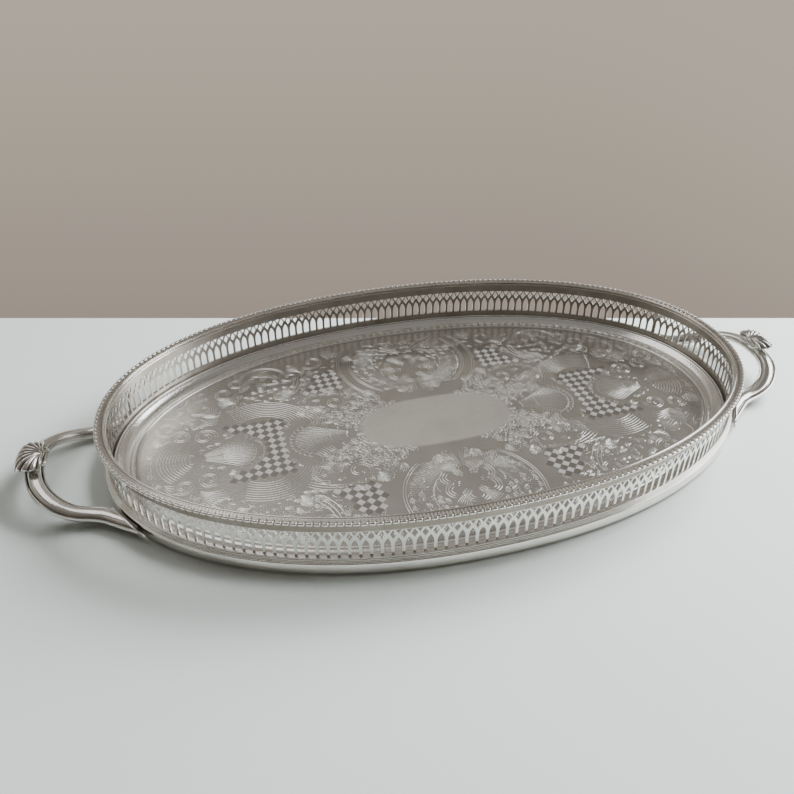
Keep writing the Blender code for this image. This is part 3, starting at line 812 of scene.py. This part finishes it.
def key_row(start, end):
    """Raised keys on the border: one outline repeated at even arc lengths, with a top, sides
    and a foot sunk in the strip."""
    arcs = np.linspace(start, end, 2 * BEADS_PER_HALF + 1)[1::2, None]
    corners = len(KEY_OUTLINE)
    plan = on_oval(arcs + KEY_OUTLINE[:, 0] * MM, KEY_OUTLINE[:, 1] * MM)
    points = np.concatenate([lifted(plan, KEY_FOOT * MM), lifted(plan, KEY_TOP * MM)], axis=1)
    here, after = np.arange(corners), (np.arange(corners) + 1) % corners
    sides = np.stack([here, after, after + corners, here + corners], axis=1)
    unit = np.concatenate([KEY_QUADS[:, ::-1], KEY_QUADS + corners, sides])
    quads = (2 * corners * np.arange(len(arcs)))[:, None, None] + unit
    return points.reshape(-1, 3), [quads.reshape(-1, 4)], np.tile(np.repeat([0.9, 0.0], corners), len(arcs))


def round_wire(inset, height, radius, start, end, steps, beads=0, sides=8):
    """A wire along the oval. Beaded, its radius swells and narrows with the sine of the
    distance along each bead, cut flat at the top; plain, it stays the same."""
    swell = np.ones(steps + 1)
    if beads:
        swell = np.abs(np.sin(math.pi * beads * np.linspace(0.0, 1.0, steps + 1)))
        swell = 0.25 + 0.75 * np.minimum(1.9 * swell, 1.0) ** 0.7
    turn = 2.0 * math.pi * np.arange(sides) / sides
    across = inset + radius * swell[:, None] * np.cos(turn)
    plan = on_oval(np.linspace(start, end, steps + 1)[:, None], across * MM)
    rise = (height + radius * swell[:, None] * np.sin(turn)) * MM
    depth = np.clip(np.repeat(0.9 - swell, sides) * 1.6, 0.0, 1.0)
    return lifted(plan, rise).reshape(-1, 3), tube_faces(steps + 1, sides), depth


for name, start, end in HALVES:
    strip = (*sweep(BORDER, start, end, HALF_STEPS), np.tile(BORDER_DEPTH, HALF_STEPS + 1))
    points, faces, depth = joined([strip, key_row(start, end)])
    make_piece("border_strip_" + name, points, faces, MOULDING_SILVER,
               ["border_" + name], depth)
    points, faces, depth = round_wire(1.15, 42.7, 1.2, start, end, 8 * BEADS_PER_HALF, BEADS_PER_HALF)
    make_piece("beaded_wire_" + name, points, faces, MOULDING_SILVER,
               ["bead_wire_" + name], depth, 60.0)
    points, faces, depth = round_wire(6.3, 42.75, 0.8, start, end, HALF_STEPS, sides=12)
    make_piece("plain_wire_" + name, points, faces, MOULDING_SILVER,
               ["inner_wire_" + name], depth, 60.0)


# ---------------------------------------------------------------- reeds and skirt
# Below the wall a reeded moulding covers its joint, and a hollow skirt rolls out and back
# under to make the tray's foot. Both are drawn strip, bent and soldered on in two halves.

REED_LINES = [(3.1, 12.55, 0.55), (2.55, 11.5, 0.5), (2.1, 10.55, 0.45)]
reed_turn = np.radians(np.linspace(80.0, 280.0, 9))
reeds = [(4.25, 10.1), (4.25, 13.1)]
for inset, height, radius in REED_LINES:
    reeds += list(zip(inset + radius * np.cos(reed_turn), height + radius * np.sin(reed_turn)))
reeds += [(2.4, 10.1)]
# Painted shade in the grooves under each reed and where the moulding meets the wall
reed_painted_shade = [1.0, 0.5] + [0.4, 0.0, 0.0, 0.0, 0.0, 0.0, 0.0, 0.2, 1.0] * 3 + [0.8]
SKIRT_OUTSIDE = [(3.9, 9.9), (2.1, 9.9), (1.1, 9.7), (0.65, 9.1), (0.35, 7.8), (0.15, 6.0), (0.2, 4.2),
                 (0.55, 2.5), (1.3, 1.1), (2.6, 0.2), (4.4, 0.0), (6.4, 0.0)]
SKIRT_INSIDE = [(6.4, 0.8), (4.6, 0.85), (3.5, 1.1), (2.3, 2.2), (1.5, 3.6), (1.2, 5.6), (1.4, 7.2),
                (2.1, 8.5), (3.9, 9.0)]
skirt = np.concatenate([smooth_line(SKIRT_OUTSIDE, 4), smooth_line(SKIRT_INSIDE, 2)])
# Painted shade: the skirt darkens toward its foot where it nears the table, and on the hidden ring at its top
# under the reeds
skirt_painted_shade = 0.35 * np.clip((3.0 - skirt[:, 1]) / 3.0, 0.0, 1.0) + 0.5 * (skirt[:, 1] > 9.85)
for name, start, end in HALVES:
    for piece, section, depth, node in (("reeding_", reeds, reed_painted_shade, "reed_moulding_"),
                                        ("foot_skirt_", skirt, skirt_painted_shade, "skirt_")):
        points, faces = sweep(section, start, end, HALF_STEPS)
        make_piece(piece + name, points, faces, MOULDING_SILVER, [node + name],
                   np.tile(depth, HALF_STEPS + 1), 50.0)


# ---------------------------------------------------------------- handles
# Each handle is a cast bar in a wide C, ribbed along the top, that rises from the skirt to
# a crest outside the tray. Its legs are mitred to the skirt and held by soldered pads.

HANDLE_PATH = [(288.0, 0.0, 18.6), (287.5, 9.0, 18.5), (286.0, 18.0, 17.8), (283.1, 26.3, 16.1),
               (278.4, 33.6, 13.6), (272.1, 39.5, 10.9), (265.0, 43.4, 8.4), (257.6, 45.6, 6.7),
               (250.2, 47.1, 5.8), (243.2, 49.6, 5.4), (236.8, 54.0, 5.2), (229.5, 59.5, 5.1),
               (204.0, 78.9, 5.0)]
RIB_TOP = [(-6.4, -0.5), (-6.55, 0.4), (-6.2, 1.4), (-5.6, 1.75), (-5.0, 1.5), (-4.7, 0.9), (-4.45, 1.5),
           (-4.0, 2.4), (-3.1, 3.15), (-1.7, 3.7), (0.0, 3.9)]
RIB_SOLE = [(5.7, -1.5), (4.2, -2.5), (2.0, -2.95), (-2.0, -2.95), (-4.2, -2.5), (-5.7, -1.5)]
RIB_DEPTH = [0.3, 0.0, 0.0, 0.0, 0.5, 1.0, 0.6, 0.1, 0.0, 0.0, 0.0]
HANDLE_CLEARANCE = 1.9 * MM
HALF_BAR_RINGS = 96
CAST_SILVER = silver("cast_silver", (0.86, 0.84, 0.80), (0.12, 0.10, 0.085), polish=0.11, dullness=0.45,
                     cloud_scale=45.0, scratch_scale=900.0, bump=0.2)

BOTH_HANDLES = (("right", (1.0, 1.0, 1.0)), ("left", (-1.0, -1.0, 1.0)))
rib = np.array(RIB_TOP + [(-across, rise) for across, rise in RIB_TOP[-2::-1]] + RIB_SOLE)
rib_depth = np.array(RIB_DEPTH + RIB_DEPTH[-2::-1] + [0.4] * len(RIB_SOLE))


def outside_oval(points):
    """The distance outside the rim's oval: (n-th root of its level) - 1, over its slope."""
    x, y = points[..., 0], points[..., 1]
    level = oval_level(x, y, 0.0)
    slope = level ** (1.0 / OVAL_POWER - 1.0) * np.linalg.norm(oval_slope(x, y), axis=-1)
    return (level ** (1.0 / OVAL_POWER) - 1.0) / slope


def bar_half():
    """Half of the bar, from the crest to the mitre: the ribbed section set square to the path,
    then every long line of it cut where it comes within the clearance of the oval."""
    path = smooth_line(np.array(HANDLE_PATH) * MM, 10)
    forward = np.gradient(path, axis=0)
    forward[0] = (0.0, 1.0, 0.0)
    forward /= np.linalg.norm(forward, axis=1, keepdims=True)
    side = np.cross(forward, (0.0, 0.0, 1.0))
    side /= np.linalg.norm(side, axis=1, keepdims=True)
    up = np.cross(side, forward)
    lines = path[:, None] + side[:, None] * rib[:, :1] * MM + up[:, None] * rib[:, 1:] * MM
    gap = outside_oval(lines) - HANDLE_CLEARANCE
    first = np.argmax(gap < 0.0, axis=0)
    column = np.arange(len(rib))
    before, at = gap[first - 1, column], gap[first, column]
    stop = first - 1 + before / (before - at)
    wanted = np.linspace(0.0, 1.0, HALF_BAR_RINGS)[:, None] * stop
    low = np.minimum(wanted.astype(int), len(path) - 2)
    part = (wanted - low)[..., None]
    return lines[low, column] * (1.0 - part) + lines[low + 1, column] * part


half_bar = bar_half()
bar = np.concatenate([(half_bar * (1.0, -1.0, 1.0))[:0:-1], half_bar])


def flange(ring):
    """A thin lip round the mitred end of a leg: the end's outline grown about its middle and
    stepped out along the oval's normal, closed at both sides."""
    middle = ring.mean(axis=0)
    out = np.append(oval_slope(middle[0], middle[1]), 0.0)
    out /= np.linalg.norm(out)
    rows = np.stack([ring + (ring - middle) * grow + out * step * MM
                     for grow, step in ((-0.02, 1.3), (0.1, 1.1), (0.14, 0.6), (0.12, 0.1), (-0.02, 0.0))])
    return rows.reshape(-1, 3), tube_faces(len(rows), len(ring)), np.zeros(rows.size // 3)


bar_solid = (bar.reshape(-1, 3), tube_faces(len(bar), len(rib)), np.tile(rib_depth, len(bar)))
points, faces, depth = joined([bar_solid, flange(bar[-1]), flange(bar[0, ::-1])])
for name, turned in BOTH_HANDLES:
    make_piece("handle_bar_" + name, points * turned, faces, CAST_SILVER,
               ["handle_" + name], depth, 40.0)


# ---------------------------------------------------------------- shells and solder pads
# A fluted scallop shell is cast in one with its lip and soldered over the crest of each handle. Four small
# pads join the handles' legs to the skirt.

SHELL_ROOT = (281.0, 24.2)
SHELL_CROWN = 288.5
SHELL_RADIUS = 20.2
SHELL_SPREAD = math.radians(95.0)
SHELL_FLUTES = 11
SHELL_GAUGE = 1.3


def shell_sheets(rows=16, columns=10 * SHELL_FLUTES + 1):
    """A fan over two parameters, the share of the radius and the turn. The outline is the
    radius times a root of the cosine of the turn; the height is a flat-topped dome of the
    fourth power, less a droop past the bar and a dip at the root, with deepening flutes. The
    result is the top, the underside and how deep each point lies between the flutes."""
    share = np.linspace(0.10, 1.0, rows)[:, None]
    turn = np.linspace(-1.0, 1.0, columns)[None, :]
    wave = np.abs(np.cos(0.5 * math.pi * turn * SHELL_FLUTES))
    angle = SHELL_SPREAD * turn
    reach = SHELL_RADIUS * share * np.cos(0.9 * angle) ** 0.35 * (1.0 + (0.06 * wave - 0.03) * share ** 2)
    x, y = SHELL_ROOT[0] + reach * np.cos(angle), reach * np.sin(angle) * 1.06
    dome = 6.8 * (1.0 - (((x - SHELL_CROWN) / 16.0) ** 2 + (y / 18.0) ** 2) ** 2)
    droop = 8.0 * (np.maximum(x - SHELL_CROWN - 2.0, 0.0) / 12.0) ** 2
    dip = 2.6 * np.exp(-(share / 0.22) ** 2)
    z = SHELL_ROOT[1] + dome - droop - dip + 1.9 * (wave - 0.6) * share ** 0.7
    top = np.stack([x, y, z], axis=-1)
    under = top - (0.0, 0.0, SHELL_GAUGE)
    under[..., 0] -= 0.6 * share ** 3 * np.cos(angle)
    return top, under, np.clip(2.2 * (0.78 - wave), 0.0, 1.0) * np.clip(share * 3.0, 0.0, 1.0)


def shell_curl(side, steps=22, sides=8):
    """The small scroll on one side of the shell's root: a wire whose middle line is a spiral
    in plan, and whose radius falls evenly to its end."""
    share = np.linspace(0.0, 1.0, steps + 1)[:, None]
    turn = math.radians(200.0) - math.radians(330.0) * share
    around = 2.0 * math.pi * np.arange(sides)[None, :] / sides
    wire = 1.2 - 0.5 * share
    out = 3.6 - 2.6 * share + wire * np.cos(around)
    curl = np.stack([SHELL_ROOT[0] + 1.8 + out * np.cos(turn), side * (6.0 + out * np.sin(turn)),
                     SHELL_ROOT[1] + 0.6 + 1.2 * share + wire * np.sin(around)], axis=-1)
    faces = [block[:, ::int(side)] for block in tube_faces(steps + 1, sides)]
    return curl.reshape(-1, 3), faces, np.zeros(curl.size // 3)


shell_top, shell_under, shell_depth = shell_sheets()
shell_loop = np.concatenate([shell_top, shell_under[::-1]])
shell_rows, shell_columns = shell_loop.shape[:2]
shell_quads = grid_faces(shell_rows, shell_columns, wrap_rows=True)[:, ::-1]
shell_row = np.arange(shell_rows) * shell_columns
shell_ends = np.stack([shell_row[::-1], shell_row + shell_columns - 1])
shell_tone = np.concatenate([shell_depth, np.full_like(shell_depth, 0.6)]).ravel()
points, faces, depth = joined([(shell_loop.reshape(-1, 3), [shell_quads, shell_ends], shell_tone),
                               shell_curl(1.0), shell_curl(-1.0)])
for name, turned in BOTH_HANDLES:
    make_piece("scallop_" + name, points * MM * turned, faces, CAST_SILVER,
               ["shell_" + name], depth, 60.0)

PAD = [(-0.45, 1.2), (-0.45, 8.6), (-1.0, 9.0), (-1.5, 8.6), (-1.6, 4.9), (-1.5, 1.2), (-1.0, 0.8)]
PAD_NEAR, PAD_FAR = 51.0 * MM, 74.0 * MM
for name, start, end in four_spans(PAD_NEAR, PAD_FAR):
    points, faces = sweep(PAD, start, end, 12)
    make_piece("solder_pad_" + name, points, faces, CAST_SILVER, ["pad_" + name], 0.7, 50.0)
